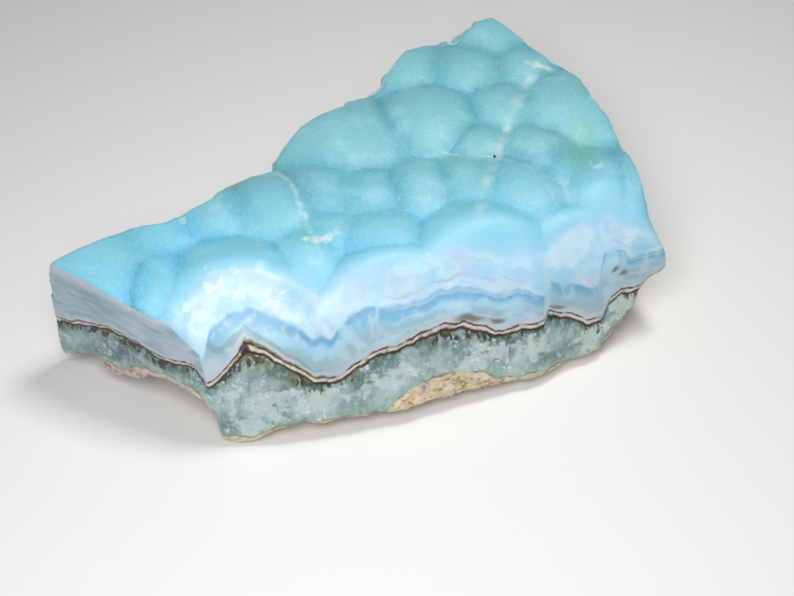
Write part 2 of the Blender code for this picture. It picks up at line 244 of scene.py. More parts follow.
# White walls between the lobes: x where it meets the seam, lean, half width and lowest share,
# and the share over which they fade at their foot
WHITE_WALLS = [(1.1, -0.67, 0.9, 0.18), (30.6, -0.02, 0.7, 0.10), (45.4, -0.35, 0.6, 0.42)]
WALL_FOOT = 0.08
# The small scallops of the blue layer's top edge, and how far noise moves them sideways
SCALLOP_WIDTH = 3.4
SCALLOP_HEIGHT = 0.10
SCALLOP_MIDDLE = 0.6
SCALLOP_SHIFT = 1.5
# Distance from the left side over which the pale ground edge fades in
GROUND_EDGE_FADE = (1.5, 7.0)
# Where in x the fine lines of the blue layer fade in, out and in again
LINED_FROM = (1.0, 6.0)
LINED_TO = (27.0, 30.0)
LINED_AGAIN = (41.0, 43.0)
# Distance left of the middle over which the rock turns greyer and pinker
FAR_LEFT = (26.0, 32.0)

# Thickness of tan rock at the foot of the front: x, millimetres
ROCK_TOP = [
    (-57, 0.3), (-48.8, 0.2), (-47, 1.7), (-45, 2.4), (-43.3, 2.4), (-40.4, 3.2), (-37.3, 2.0),
    (-30.8, 1.7), (-28.2, 1.1), (-26.4, 0.5), (-25, 0.3), (-24, 0.9), (-14, 0.7), (-8, 1.0),
    (0, 0.5), (2.7, 0.7), (4.4, 2.4), (8.7, 4.7), (13, 5.0), (19.1, 3.9), (21.9, 2.2),
    (26.4, 1.3), (30.9, 1.0), (42, 0.7), (58, 0.9),
]

# Pale veins on the crust, as lines in plan
LONG_VEIN = [
    (33.0, 29.0), (31.6, 25.9), (27.7, 17.6), (25, 8.6), (22.2, 0.8), (20, -8.4), (18.5, -15.2),
]
FINE_VEINS = [
    [(-19.0, 0.6), (-17.2, -1.4), (-15.4, -3.9), (-13.6, -7.0), (-12.5, -10.2), (-11.2, -13.6)],
    [(-11.2, -13.6), (-10.4, -16.2), (-9.8, -18.0), (-8.9, -19.8)],
    [(-10.7, -19.6), (-8.9, -20.1), (-7.4, -19.4), (-5.2, -17.8)],
    [(32.8, -13), (34.2, -14), (35.4, -14.7)],
    [(29.6, 26.6), (31.6, 25.9), (34.4, 25.4)],
]
THIN_VEINS = [
    [(-8.5, -20.2), (-7.7, -24.3), (-7.2, -28.9)],
    [(12.6, 2.6), (14.3, 2), (17.7, 0.3), (22.2, 0.8)],
    [(22.2, 0.8), (28.0, -2.5), (31.6, -8.2), (32.8, -13)],
]
# White spots on the veins: x, y and radius
WHITE_VEIN_SPOTS = [
    (-8.8, -19.9, 0.9), (-7.2, -19.6, 0.7), (-10.4, -19.4, 0.6), (25.0, 8.4, 0.8),
    (31.6, 26.0, 0.9), (33.4, 25.6, 0.6), (-19.2, -0.4, 1.0), (15.8, -21.8, 0.6),
]
# Cracks that cross all the layers of the front, as lines in plan
FAULTS = [
    [(31.1, -13), (30.7, -16.9), (30.5, -20.6), (30.3, -24.3), (30.6, -27.1), (31, -31)],
    [(40.7, -15.1), (40, -18.6), (41.1, -19.5), (42.4, -19.6)],
    [(43.1, -11.1), (41.9, -15.6)],
]
# Brown smudges above the seam: x, share, length and height in millimetres
SMUDGES = [
    (17.1, 0.17, 3.0, 0.7), (22.0, 0.20, 2.0, 0.6), (32.4, 0.14, 2.0, 0.5),
    (42.7, 0.40, 0.9, 0.6), (44.4, 0.29, 1.1, 0.7),
]
# Green stains on the crust: x, y and radius
GREEN_STAINS = [(38.0, 7.6, 2.6), (37.8, 3.6, 2.6), (37.2, -0.4, 2.2), (41.0, 18.0, 2.4)]
# Black specks on the crust: x, y and radius
SPECKS = [(22.2, 0.8, 0.42), (19.5, 19.3, 0.30), (2.1, 4.5, 0.22), (-9.9, -10.0, 0.2)]
# White chips on the crust, and white patches on its ground edge painted as glints of reflected light:
# x, y and radius
WHITE_CHIPS_AND_GLINTS = [
    (-25.1, -29.2, 1.8), (-22.1, -29.6, 1.6), (-17.6, -26.1, 0.6), (15.8, -21.8, 0.6),
    (40.0, -2.1, 0.8), (-31.6, -14.6, 0.6), (-14.0, -31.5, 1.6), (-28.0, -34.0, 1.8),
]
# Rims behind where the crust has chipped away down to its pale layer, as lines in plan
CHIPPED_RIMS = [
    [(-4.8, 18.0), (-2.8, 20.2), (1.2, 21.9)],
    [(15.9, 34.6), (16.9, 36.4), (18.2, 38.0)],
    [(-20.0, -0.6), (-18.6, 0.4)],
]
RIM_WIDTH = 1.7
RIM_DEPTH = 0.7
RIM_FADE = (1.5, 3.5)
# Cloudy patches of the crystalline layer on the front: x, height and their half widths
CLOUDS = [
    (-22.6, 10.6, 1.8, 1.6), (-17.0, 8.0, 4.0, 2.8), (-14.5, 9.6, 2.4, 1.5), (-8.6, 8.2, 4.4, 1.9),
    (2.0, 9.3, 3.4, 1.7), (6.5, 10.5, 1.4, 1.2), (17.8, 9.3, 2.4, 2.8), (22.7, 9.8, 2.4, 1.6),
    (28.3, 8.4, 2.6, 1.9), (39.1, 5.6, 3.2, 2.0), (45.5, 9.2, 3.2, 2.4), (-20.0, 4.0, 2.6, 1.6),
]
# The marks that are lines in plan, and those that are spots
LINE_MARKS = {
    "rim_chip": CHIPPED_RIMS,
    "long_vein": [LONG_VEIN],
    "fine_vein": FINE_VEINS,
    "thin_vein": THIN_VEINS,
    "fault": FAULTS,
}
SPOT_MARKS = {
    "green": GREEN_STAINS,
    "speck": SPECKS,
    "chips_and_glints": WHITE_CHIPS_AND_GLINTS,
    "white_vein": WHITE_VEIN_SPOTS,
}
# Where the seam is wide and stained olive, x from and to on either side, and its dark pit
OLIVE_FROM = (-21.5, -19.0)
OLIVE_TO = (-8.0, -5.0)
SEAM_PIT = (-20.2, 0.9, 0.9)

# Camera: place in the shape functions' coordinates, tilt down and lens for a 36 mm wide image
CAMERA_AT = (4.8, -181.0, 198.5)
CAMERA_TILT = 49.3
LENS = 63.48
SENSOR_WIDTH = 36.0
NEAREST_SEEN = 0.01

# Lamps in metres: place, the point they look at, width, power and colour
LAMPS = {
    "behind": ((0.07, 0.04, 0.30), (0.0, -0.12, 0.0), 0.08, 0.46, (1.0, 0.985, 0.96)),
    "front": ((-0.03, -0.18, 0.24), (-0.01, -0.12, 0.0), 0.16, 0.56, (0.98, 0.99, 1.0)),
}
ROOM_LIGHT = (0.93, 0.96, 1.0, 1.0)
ROOM_STRENGTH = 0.06
FLOOR_WIDTH = 4.0
FLOOR_ROUGHNESS = 0.7

# The stone's finish: refraction, and the share, reach and depth of the light that enters it
REFRACTION = 1.53
GLOW = 0.25
GLOW_REACH = (0.5, 0.8, 1.0)
GLOW_DEPTH = 1.5
# Roughness of its parts, and the strength and depth of its finest grain
SKIN_ROUGHNESS = 0.48
SIDE_ROUGHNESS = 0.36
CRYSTAL_ROUGHNESS = 0.40
ROCK_ROUGHNESS = 0.85
BUMP_STRENGTH = 0.35
BUMP_DEPTH = 0.25

# Colours of the stone as the photograph shows them, and of the floor, 0 to 255
SKY = (112, 202, 234)
# Turquoise of the back of the crust, darkened partly as painted shade of the light falling off
SHADED_TURQUOISE = (112, 188, 200)
MINT = (124, 196, 196)
# Painted shade for the crust's valleys and the creases at their floors
VALLEY_SHADE = (84, 170, 194)
CREASE_SHADE = (66, 146, 172)
# Painted highlight for the crowns of the crust's knobs
CROWN_HIGHLIGHT = (146, 212, 222)
PALE_CYAN = (176, 230, 246)
EDGE_CYAN = (150, 218, 240)
ICE = (198, 232, 246)
ICE_SHADE = (168, 216, 240)
LILAC = (200, 216, 236)
BLUE_TOP = (120, 182, 218)
BLUE = (160, 210, 234)
CLEAR_BLUE = (186, 230, 250)
BLUE_LOW = (166, 198, 210)
COLUMN = (204, 226, 238)
LILAC_LINE = (160, 172, 188)
ARC = (112, 152, 168)
HALO = (206, 216, 224)
RIM_PALE = (204, 222, 228)
SEAM_WHITE = (232, 224, 214)
SEAM_TAN = (176, 146, 110)
SEAM_BROWN = (92, 66, 42)
SEAM_DARK = (58, 42, 28)
OLIVE = (126, 118, 66)
OLIVE_GREEN = (120, 138, 96)
SMUDGE = (110, 98, 70)
CRYSTAL = (160, 188, 186)
TEAL = (96, 126, 124)
DEEP_TEAL = (70, 104, 102)
CLOUD = (206, 224, 220)
CRYSTAL_LOW = (150, 186, 174)
SPARK = (240, 250, 246)
RIM_BROWN = (150, 116, 84)
ROCK = (222, 202, 160)
ROCK_LIGHT = (240, 226, 194)
ROCK_LILAC = (206, 194, 196)
ROCK_BROWN = (140, 104, 66)
ROCK_DARK = (92, 68, 46)
VEIN = (204, 232, 228)
THIN_VEIN = (184, 222, 212)
WHITE_VEIN = (226, 240, 232)
WHITE = (246, 250, 252)
BLACK = (22, 26, 28)
GREEN = (116, 192, 176)
LEFT_RIM = (202, 210, 222)
LEFT_GREY = (164, 190, 202)
LEFT_TEAL = (134, 168, 182)
FLOOR = (240, 240, 239)


def step_between(low, high, value):
    """0 below low, 1 above high and a smooth rise between them."""
    t = np.clip((value - low) / (high - low), 0.0, 1.0)
    return t * t * (3.0 - 2.0 * t)


def soft_max(a, b, reach):
    """The larger of a and b, with a rounded corner where they meet."""
    t = np.clip(0.5 + 0.5 * (a - b) / reach, 0.0, 1.0)
    return b + (a - b) * t + reach * t * (1.0 - t)


def read_off(x, pairs):
    """The value at x of a line through pairs of x and value."""
    return np.interp(x, *zip(*pairs))


def knob_heights(x, y):
    """Height of every knob's dome at every point."""
    knobs = np.array(list(KNOBS.values()))
    square = (x[:, None] - knobs[:, 0]) ** 2 + (y[:, None] - knobs[:, 1]) ** 2
    return knobs[:, 2] - square / (2.0 * knobs[:, 3])


def crust_height(x, y):
    """Height of the knobbly crust."""
    heights = knob_heights(x, y)
    highest = heights.max(axis=1)
    blend = np.exp((heights - highest[:, None]) / KNOB_BLEND).sum(axis=1)
    knobbly = highest + KNOB_BLEND * np.log(blend)
    return CRUST_LEVEL + (knobbly - CRUST_LEVEL) * CRUST_FLATNESS


def valley_drop_and_shade(x, y):
    """How much lower the second highest knob is, and how deep the crease and the painted shade of the
    valley between the two are.
    """
    names = list(KNOBS)
    crease_and_shade = np.full((len(names), len(names)), OTHER_VALLEY_CREASES_AND_SHADE)
    for (first, second), dark in VALLEY_CREASES_AND_SHADE.items():
        crease_and_shade[names.index(first), names.index(second)] = dark
        crease_and_shade[names.index(second), names.index(first)] = dark
    heights = knob_heights(x, y)
    order = np.argsort(heights, axis=1)
    highest, second = order[:, -1], order[:, -2]
    point = np.arange(len(x))
    return heights[point, highest] - heights[point, second], crease_and_shade[highest, second]


def square_from_side(to_x, to_y, run_x, run_y):
    """Square of the distance in plan from a straight side: the way to the point, and the side's run."""
    along = np.clip((to_x * run_x + to_y * run_y) / (run_x**2 + run_y**2), 0.0, 1.0)
    return (to_x - run_x * along) ** 2 + (to_y - run_y * along) ** 2


def wall_distances(x, y, z):
    """Distances outside all the side walls, the front ones and the left ones, negative inside."""
    wall = np.array(WALL)
    t = (z - LOW) / (HIGH - LOW)
    nearest = np.full(len(x), 1e9)
    nearest_front = nearest.copy()
    nearest_left = nearest.copy()
    inside = np.zeros(len(x), bool)
    behind_front = inside.copy()
    behind_left = inside.copy()
    for side, (start, end) in enumerate(zip(wall, np.roll(wall, -1, axis=0))):
        start_x = start[0] + (start[2] - start[0]) * t
        start_y = start[1] + (start[3] - start[1]) * t
        end_x = end[0] + (end[2] - end[0]) * t
        end_y = end[1] + (end[3] - end[1]) * t
        run_x = end_x - start_x
        run_y = end_y - start_y
        to_x = x - start_x
        to_y = y - start_y
        square = square_from_side(to_x, to_y, run_x, run_y)
        left_of = run_x * to_y - run_y * to_x > 0.0
        crosses = (start_y <= y) != (end_y <= y)
        inside ^= crosses & (left_of == (end_y > start_y))
        nearest = np.minimum(nearest, square)
        if side < FRONT_SIDES:
            behind_front = np.where(square < nearest_front, left_of, behind_front)
            nearest_front = np.minimum(nearest_front, square)
        if side >= len(wall) - LEFT_SIDES:
            behind_left = np.where(square < nearest_left, left_of, behind_left)
            nearest_left = np.minimum(nearest_left, square)
    everywhere = np.where(inside, -1.0, 1.0) * np.sqrt(nearest)
    front = np.where(behind_front, -1.0, 1.0) * np.sqrt(nearest_front)
    left = np.where(behind_left, -1.0, 1.0) * np.sqrt(nearest_left)
    return everywhere, front, left


def brokenness(x, y):
    """0 on the cut front and left sides, 1 on the broken sides behind."""
    middle_line = np.interp(x, [-54, -24, 20, 53], [-23, -22, 4, -12])
    return step_between(-3.0, 5.0, y - middle_line)


def seam_height(x, y):
    """Height of the brown seam between the blue and the crystalline layer."""
    front = read_off(x, SEAM_FRONT)
    back = read_off(x, SEAM_BACK)
    return front + (back - front) * brokenness(x, y)


def grinding_height(x, y):
    """Height at which the 45 degree grinding of the front edge meets the front side."""
    past_line = y - GRINDING_BACK_Y - GRINDING_BACK_SLANT * x
    return GRINDING_START + np.clip(GRINDING_END * past_line, 0.0, ABOVE_ALL)


def grinding_distance(front, x, y, z):
    """Distance outside the ground edge, for a point that far outside the front."""
    return (front + z - grinding_height(x, y)) / np.sqrt(2.0)


def underside_height(x, y):
    """Height of the rough underside, with the humps that it rests on."""
    waves = np.sin(x / 5.1 + 1.0) * np.cos(y / 6.3) + 0.6 * np.sin(x / 2.9 - y / 3.7)
    behind = brokenness(x, y)
    height = BASE_HEIGHT + BASE_WAVES * waves * (FRONT_WAVES + (1.0 - FRONT_WAVES) * behind)
    for foot_x, foot_y, radius in FEET.values():
        square = ((x - foot_x) ** 2 + (y - foot_y) ** 2) * (1.0 + 0.25 * waves)
        foot = FOOT_WEAR * (square / radius**2 - 1.0)
        height = -soft_max(-height, -foot, FOOT_ROUNDING)
    height += read_off(x, RIM_RISE) * (1.0 - behind)
    return height + read_off(x, TIP_RISE)


def slab_height(points):
    """Distance outside the slab, negative inside it."""
    x, y, z = points.T
    walls, front, _ = wall_distances(x, y, z)
    grinding = grinding_distance(front, x, y, z)
    height = soft_max(z - crust_height(x, y), walls, EDGE_ROUNDING)
    height = soft_max(height, grinding, GROUND_ROUNDING)
    return soft_max(height, underside_height(x, y) - z, EDGE_ROUNDING)


def slope(points):
    """slab_height at each point, and how fast it grows along x, y and z."""
    here = slab_height(points)
    rise = [slab_height(points + PROBE * axis) - here for axis in np.eye(3)]
    return here, np.stack(rise, axis=1) / PROBE


def lumps(points, size, offset):
    """Smooth noise between -1 and 1, with lumps about as wide as size."""
    shift = Vector((offset, 2.0 * offset, 3.0 * offset))
    return np.array([noise.noise(Vector(point) / size + shift) for point in points])


def distance_to_line(x, y, line):
    """Distance in plan from a line of several corners."""
    nearest = np.full(len(x), 1e9)
    for (start_x, start_y), (end_x, end_y) in zip(line, line[1:]):
        run_x = end_x - start_x
        run_y = end_y - start_y
        to_x = x - start_x
        to_y = y - start_y
        square = square_from_side(to_x, to_y, run_x, run_y)
        nearest = np.minimum(nearest, square)
    return np.sqrt(nearest)


def distance_to_lines(x, y, lines):
    """Distance in plan from the nearest of several lines."""
    return np.min([distance_to_line(x, y, line) for line in lines], axis=0)


def right_of_fault(x, y):
    """Distance to the right of the first crack, negative to its left."""
    line_x, line_y = zip(*sorted(FAULTS[0], key=lambda corner: corner[1]))
    return x - np.interp(y, line_y, line_x)


def seam_waves(points):
    """The small waves of the seam, up and down."""
    level = points * (1.0, 1.0, 0.0)
    long_waves, short_waves = SEAM_WAVE_SIZES
    return SEAM_WAVES * (lumps(level, long_waves, 91.0) + 0.4 * lumps(level, short_waves, 97.0))


def relief(points):
    """How far the skin stands out from slab_height, by layer."""
    x, y, z = points.T
    broken = brokenness(x, y)
    walls, _, _ = wall_distances(x, y, z)
    wall = step_between(*WALL_FADE, walls)
    below_crust = step_between(*CRUST_FADE, crust_height(x, y) - z)
    above_seam = z - seam_height(x, y) - seam_waves(points)
    above_base = z - underside_height(x, y)
    in_rock = 1.0 - step_between(*ROCK_FADE, above_base)
    in_crystal = (1.0 - step_between(*CRYSTAL_FADE, above_seam)) * (1.0 - in_rock)
    in_seam = np.exp(-(((above_seam + 0.5) / SEAM_HALF_WIDTH) ** 2))
    coarse = lumps(points, COARSE, 3.0)
    medium = lumps(points, MEDIUM, 11.0)
    ledges = np.abs(lumps(points * (1.0, 1.0, LEDGE_FLATNESS), LEDGE_SIZE, 19.0))
    out = wall * below_crust * broken * (CHIPS * coarse - LEDGES * ledges + 0.3)
    out -= wall * in_seam * SEAM_DEPTH * (1.0 + 0.4 * broken) * (0.8 + 0.6 * medium)
    out += wall * in_crystal * (CRYSTALS + (BROKEN_CRYSTALS - CRYSTALS) * broken) * medium
    out += in_rock * ROCK_LUMPS * (medium + 0.5 * coarse)
    return out + fine_relief(points, wall, in_rock, in_crystal, above_seam, broken)


def fine_relief(points, wall, in_rock, in_crystal, above_seam, broken):
    """The small forms that only the looks have: fibres, pits, grain and flakes."""
    x, y, z = points.T
    fibres = lumps(points * (1.0, 1.0, 0.3), 1.3, 31.0)
    pits = lumps(points * (1.0, 1.0, 0.6), 1.6, 41.0)
    grain = lumps(points, 1.5, 53.0) + 0.6 * np.abs(lumps(points, 2.6, 61.0))
    flakes = np.abs(lumps(points, 3.2, 71.0))
    in_seam = np.exp(-(((above_seam + 0.6) / 0.6) ** 2))
    out = wall * in_crystal * FIBRES * (1.0 + 2.0 * broken) * fibres
    out -= wall * in_seam * SEAM_PITS * np.clip(0.4 + 1.6 * pits, 0.0, 1.5)
    above_rock = z - underside_height(x, y) - read_off(x, ROCK_TOP)
    patch = np.maximum(in_rock, 1.0 - step_between(-0.5, 0.3, above_rock))
    out += patch * ROCK_GRAIN * grain
    out -= wall * broken * (1.0 - in_rock) * 3.0 * FLAKES * flakes
    down = crust_height(x, y) - z
    rim = distance_to_lines(x, y, CHIPPED_RIMS)
    chipped = 1.0 - step_between(0.5 * RIM_WIDTH, RIM_WIDTH, rim)
    chipped *= 1.0 - step_between(*RIM_FADE, down)
    out -= RIM_DEPTH * chipped * (1.0 + flakes)
    drop, dark = valley_drop_and_shade(x, y)
    out -= CREASE * dark * np.exp(-((drop / CREASE_WIDTH) ** 2)) * (1.0 - step_between(0.8, 2.0, down))
    right = step_between(-0.25, 0.25, right_of_fault(x, y))
    near = 1.0 - step_between(*FAULT_STEP_FADE, right_of_fault(x, y))
    out -= wall * (1.0 - broken) * FAULT_STEP * right * near
    return out


def points_of(mesh):
    """The mesh's points in millimetres, in the coordinates of the sizes above."""
    flat = np.empty(len(mesh.vertices) * 3)
    mesh.vertices.foreach_get("co", flat)
    return flat.reshape(-1, 3) / MM + (*PLAN_MIDDLE, 0.0)


def settle(mesh, box):
    """Moves the mesh's points onto the stone's surface, inside the solid's box."""
    points = points_of(mesh)
    for _ in range(SETTLE_ROUNDS):
        here, rise = slope(points)
        here = here - relief(points)
        square = np.maximum((rise**2).sum(axis=1), SMALLEST_RISE)
        move = np.clip(here, -LONGEST_MOVE, LONGEST_MOVE) / square
        points = points - rise * move[:, None]
    points = (points - (*PLAN_MIDDLE, 0.0)) * MM
    points = np.clip(points, box[0], box[1])
    mesh.vertices.foreach_set("co", points.ravel())
    mesh.update()


def keep_on_points(mesh, name, values):
    """Stores one number per point, for the material to read."""
    attribute = mesh.attributes.new(name, "FLOAT", "POINT")
    attribute.data.foreach_set("value", np.asarray(values, np.float32))


def spots(x, y, places):
    """1 in the middle of the nearest spot and a half at its radius, for spots of x, y and radius."""
    share = np.zeros(len(x))
    for spot_x, spot_y, radius in places:
        distance = np.hypot(x - spot_x, y - spot_y)
        share = np.maximum(share, 1.0 - distance / (2.0 * radius))
    return share


def smudge_marks(x, share, thickness):
    """1 in the middle of the nearest brown smudge."""
    marks = np.zeros(len(x))
    for mark_x, mark_share, length, height in SMUDGES:
        across = (x - mark_x) / length
        up = (share - mark_share) * thickness / height
        marks = np.maximum(marks, np.exp(-(across**2) - up**2))
    return marks


def white_wall_marks(x, above_seam, share):
    """1 in the middle of the nearest white wall between the lobes."""
    marks = np.zeros(len(x))
    for seam_x, lean, half_width, lowest in WHITE_WALLS:
        away = np.abs(x - seam_x - lean * above_seam) / half_width
        reach = step_between(lowest - WALL_FOOT, lowest + WALL_FOOT, share)
        marks = np.maximum(marks, reach * (1.0 - away / 2.0))
    return marks


def cloud_marks(x, z):
    """1 in the middle of the nearest cloudy patch of the crystalline layer."""
    marks = np.zeros(len(x))
    for cloud_x, height, half_x, half_z in CLOUDS:
        away = np.hypot((x - cloud_x) / half_x, (z - height) / half_z)
        marks = np.maximum(marks, 1.0 - away / 2.0)
    return marks


def measure_layers(mesh):
    """Stores how each point lies in the stone's layers, and how near it is to each mark."""
    points = points_of(mesh)
    x, y, z = points.T
    crust = crust_height(x, y)
    walls, front, left = wall_distances(x, y, z)
    grinding = grinding_distance(front, x, y, z)
    behind = brokenness(x, y)
    in_front = 1.0 - behind
    above_seam = z - seam_height(x, y) - seam_waves(points)
    thickness = np.maximum(crust - seam_height(x, y), 1.0)
    share = above_seam / thickness
    keep_on_points(mesh, "share", share)
    keep_on_points(mesh, "above_seam", above_seam)
    keep_on_points(mesh, "broken", behind)
    keep_on_points(mesh, "rock", z - underside_height(x, y) - read_off(x, ROCK_TOP))
    keep_on_points(mesh, "far_left", step_between(*FAR_LEFT, -x))

    on_left = left - np.maximum(np.maximum(front, grinding), z - crust)
    skin_edge = np.where(on_left > 0.0, SKIN_EDGE_LEFT, read_off(x, SKIN_EDGE))
    skin_edge = skin_edge + (SKIN_EDGE_BEHIND - skin_edge) * behind
    on_crust = np.maximum(z - crust - np.maximum(walls, grinding), 0.0)
    # How strong the painted shade is in each valley, for the material
    drop, dark = valley_drop_and_shade(x, y)
    keep_on_points(mesh, "on_left", on_left)
    keep_on_points(mesh, "skin", (share - skin_edge) * thickness + on_crust)
    keep_on_points(mesh, "ground_edge", in_front * step_between(*GROUND_EDGE_FADE, -left))
    keep_on_points(mesh, "valley", drop)
    keep_on_points(mesh, "painted_valley_shade", dark)

    blue_edge = read_off(x, BLUE_EDGE)
    blue_edge = blue_edge + (BLUE_EDGE_BEHIND - blue_edge) * behind
    line_level = (blue_edge - share) * thickness
    along = x + SCALLOP_SHIFT * lumps(points * (1.0, 1.0, 0.0), 6.0, 83.0)
    scallops = SCALLOP_HEIGHT * (np.abs(np.sin(np.pi * along / SCALLOP_WIDTH)) - SCALLOP_MIDDLE)
    lined = step_between(*LINED_FROM, x) * (1.0 - step_between(*LINED_TO, x))
    lined += step_between(*LINED_AGAIN, x)
    keep_on_points(mesh, "blue", line_level + scallops)
    keep_on_points(mesh, "line_level", line_level)
    keep_on_points(mesh, "lined", in_front * lined)
    keep_on_points(mesh, "blue_foot", (share - read_off(x, BLUE_FOOT)) * thickness)
    keep_on_points(mesh, "arc", in_front * (1.0 - step_between(*ARC_END, x)))

    olive = step_between(*OLIVE_FROM, x) * (1.0 - step_between(*OLIVE_TO, x))
    pit_x, pit_width, pit_height = SEAM_PIT
    pit = ((x - pit_x) / pit_width) ** 2 + (above_seam / pit_height) ** 2
    keep_on_points(mesh, "olive", in_front * olive)
    keep_on_points(mesh, "pit", in_front * np.exp(-pit))
    keep_on_points(mesh, "smudge", in_front * smudge_marks(x, share, thickness))
    keep_on_points(mesh, "white_wall", in_front * white_wall_marks(x, above_seam, share))
    keep_on_points(mesh, "cloud", in_front * cloud_marks(x, z))
    for name, lines in LINE_MARKS.items():
        keep_on_points(mesh, name, distance_to_lines(x, y, lines))
    for name, places in SPOT_MARKS.items():
        keep_on_points(mesh, name, spots(x, y, places))


def make_stone(node):
    """The whole stone: a copy of the solid with a fine even skin, settled onto the stone's surface."""
    bpy.ops.object.select_all(action="DESELECT")
    stone = bpy.data.objects.new(PIECE, node.data.copy())
    bpy.context.scene.collection.objects.link(stone)
    stone.select_set(True)
    bpy.context.view_layer.objects.active = stone
    bpy.ops.object.mode_set(mode="EDIT")
    bpy.ops.mesh.select_all(action="SELECT")
    bpy.ops.mesh.remove_doubles(threshold=MERGE_WITHIN * MM)
    bpy.ops.mesh.normals_make_consistent(inside=False)
    bpy.ops.object.mode_set(mode="OBJECT")
    skin = stone.modifiers.new("Even skin", "REMESH")
    skin.mode = "VOXEL"
    skin.voxel_size = VOXEL * MM
    smoothing = stone.modifiers.new("Smooth steps", "SMOOTH")
    smoothing.factor = 0.5
    smoothing.iterations = 3
    for modifier in (skin, smoothing):
        bpy.ops.object.modifier_apply(modifier=modifier.name)
    settle(stone.data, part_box(NODE))
    worn = stone.modifiers.new("Worn", "SMOOTH")
    worn.factor = 0.5
    worn.iterations = 2
    bpy.ops.object.modifier_apply(modifier=worn.name)
    measure_layers(stone.data)
    bpy.ops.object.shade_smooth()
    return stone


def linear(colour):
    """A colour of 0 to 255 as the shader wants it, with its fourth number."""
    parts = [part / 255.0 for part in colour]
    straight = [p / 12.92 if p <= 0.04045 else ((p + 0.055) / 1.055) ** 2.4 for p in parts]
    return (*straight, 1.0)


EVEN = (1.0, 1.0, 1.0)


class Paint:
    """Puts shader nodes into one material and joins them."""

    def __init__(self, material):
        self.nodes = material.node_tree.nodes
        self.links = material.node_tree.links
        self.place = self.nodes.new("ShaderNodeTexCoord").outputs["Object"]

    def put(self, socket, value):
        """Joins a socket to another node's output, or sets it to a number or a colour."""
        if isinstance(value, bpy.types.NodeSocket):
            self.links.new(value, socket)
        elif isinstance(value, tuple) and len(value) == 3 and socket.type == "RGBA":
            socket.default_value = linear(value)
        else:
            socket.default_value = value

    def kept(self, name):
        """A number that is stored on the mesh's points."""
        node = self.nodes.new("ShaderNodeAttribute")
        node.attribute_name = name
        return node.outputs["Fac"]

    def sum(self, operation, a, b=0.0, clamp=False):
        """One step of arithmetic."""
        node = self.nodes.new("ShaderNodeMath")
        node.operation = operation
        node.use_clamp = clamp
        self.put(node.inputs[0], a)
        self.put(node.inputs[1], b)
        return node.outputs[0]

    def add(self, a, b):
        """Two numbers added."""
        return self.sum("ADD", a, b)

    def times(self, a, b):
        """Two numbers multiplied."""
        return self.sum("MULTIPLY", a, b)

    def rest_of(self, a):
        """1 minus a share."""
        return self.sum("SUBTRACT", 1.0, a)

    def mapped(self, size, stretch, shift):
        """The place on the stone, in steps of that many millimetres."""
        mapping = self.nodes.new("ShaderNodeMapping")
        mapping.inputs["Location"].default_value = (shift, 1.7 * shift, 2.3 * shift)
        mapping.inputs["Scale"].default_value = tuple(part / (size * MM) for part in stretch)
        self.links.new(self.place, mapping.inputs["Vector"])
        return mapping.outputs["Vector"]

    def noise_at(self, place, scale, detail):
        """A noise node that is read at a place."""
        node = self.nodes.new("ShaderNodeTexNoise")
        node.inputs["Scale"].default_value = scale
        node.inputs["Detail"].default_value = detail
        self.links.new(place, node.inputs["Vector"])
        return node

    def noise(self, size, stretch=EVEN, detail=2.0, shift=0.0, signed=False):
        """Noise with lumps of that many millimetres, from 0 to 1, or about -1 to 1 if signed."""
        share = self.noise_at(self.mapped(size, stretch, shift), 1.0, detail).outputs["Fac"]
        if not signed:
            return share
        return self.times(self.sum("SUBTRACT", share, 0.5), 3.0)

    def wobble(self, value, size, height, stretch=EVEN, detail=2.0, shift=0.0):
        """A number made uneven by noise: up to about height more or less."""
        return self.add(value, self.times(self.noise(size, stretch, detail, shift, True), height))

    def uneven(self, name, size, height, stretch=EVEN, detail=2.0, shift=0.0):
        """A number that is stored on the points, made uneven by noise."""
        return self.wobble(self.kept(name), size, height, stretch, detail, shift)

    def patches(self, size, low, high, most=1.0, least=0.0, stretch=EVEN, detail=2.0, shift=0.0):
        """Soft patches of noise: least where it is below low, and most where it is above high."""
        return self.rise(self.noise(size, stretch, detail, shift), low, high, least, most)

    def cells(self, size, stretch=EVEN, shift=0.0, feature="F1", bent=0.0):
        """Small cells, bent by noise: distance from their middles or edges and their colours."""
        place = self.mapped(size, stretch, shift)
        bend = self.noise_at(place, 1.6, 4.0).outputs["Color"]
        node = self.nodes.new("ShaderNodeTexVoronoi")
        node.feature = feature
        node.inputs["Scale"].default_value = 1.0
        self.links.new(self.mix(0.5 * bent, place, bend, "ADD"), node.inputs["Vector"])
        return node

    def rise(self, value, low, high, to_low=0.0, to_high=1.0):
        """A smooth change from to_low where value is low to to_high where it is high."""
        node = self.nodes.new("ShaderNodeMapRange")
        node.interpolation_type = "SMOOTHSTEP"
        self.put(node.inputs["Value"], value)
        node.inputs["From Min"].default_value = low
        node.inputs["From Max"].default_value = high
        node.inputs["To Min"].default_value = to_low
        node.inputs["To Max"].default_value = to_high
        return node.outputs["Result"]

    def line(self, value, middle, half_width):
        """1 on a line where value is middle, and 0 past half a width beside it."""
        away = self.sum("ABSOLUTE", self.sum("SUBTRACT", value, middle))
        return self.rise(away, 0.35 * half_width, half_width, 1.0, 0.0)

    def mix(self, share, under, over, blend="MIX"):
        """One colour laid over another."""
        node = self.nodes.new("ShaderNodeMix")
        node.data_type = "RGBA"
        node.blend_type = blend
        self.put(node.inputs[0], share)
        self.put(node.inputs[6], under)
        self.put(node.inputs[7], over)
        return node.outputs[2]

    def blend(self, share, under, over):
        """One number laid over another."""
        node = self.nodes.new("ShaderNodeMix")
        node.data_type = "FLOAT"
        self.put(node.inputs[0], share)
        self.put(node.inputs[2], under)
        self.put(node.inputs[3], over)
        return node.outputs[0]


